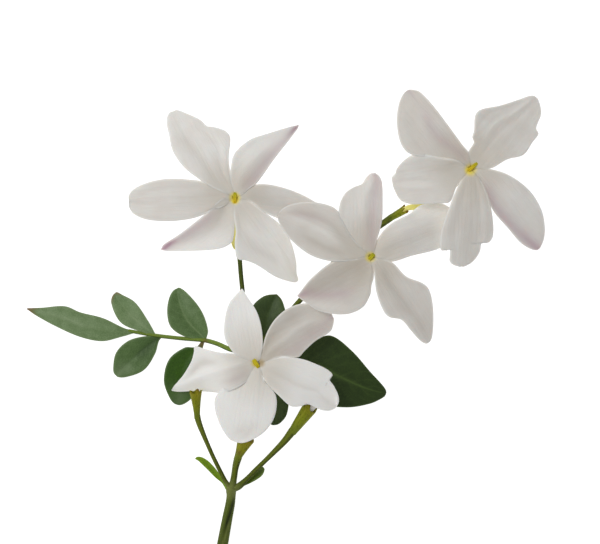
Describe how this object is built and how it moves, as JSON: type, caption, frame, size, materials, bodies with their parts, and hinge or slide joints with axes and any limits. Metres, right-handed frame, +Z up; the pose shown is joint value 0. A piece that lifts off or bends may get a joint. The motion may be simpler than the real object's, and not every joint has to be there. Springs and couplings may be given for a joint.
{
  "type": "jasmine flower sprig",
  "caption": "Cut jasmine sprig lying on its side: open white star flowers on thin green branches with pinnate leaves, a bud and an empty calyx.",
  "frame": {"origin": "on the surface that the sprig lies on, under the middle of its bounding box", "axes": "+Z up from the surface; -Y towards the cut end of the stem; +X along the widest spread, from the long-tipped leaf towards the two linked flowers"},
  "size_m": [0.1141, 0.1041, 0.013],
  "materials": {
    "petal": "matte",
    "anther": "matte",
    "stem": "satin",
    "calyx": "satin",
    "leaf": "satin",
    "bract": "satin"
  },
  "bodies": {
    "root": {"anthers_a": "anther", "anthers_b": "anther", "anthers_c": "anther", "anthers_d": "anther", "bract_left": "bract", "bract_right": "bract", "bud_right": "petal", "calyx_a": "calyx", "calyx_b": "calyx", "calyx_c": "calyx", "calyx_d": "calyx", "calyx_left": "calyx", "calyx_right": "calyx", "corolla_a": "petal", "corolla_b": "petal", "corolla_c": "petal", "corolla_d": "petal", "leaf_left": "leaf", "leaf_right": "leaf", "stem": "stem"}
  },
  "joints": []
}
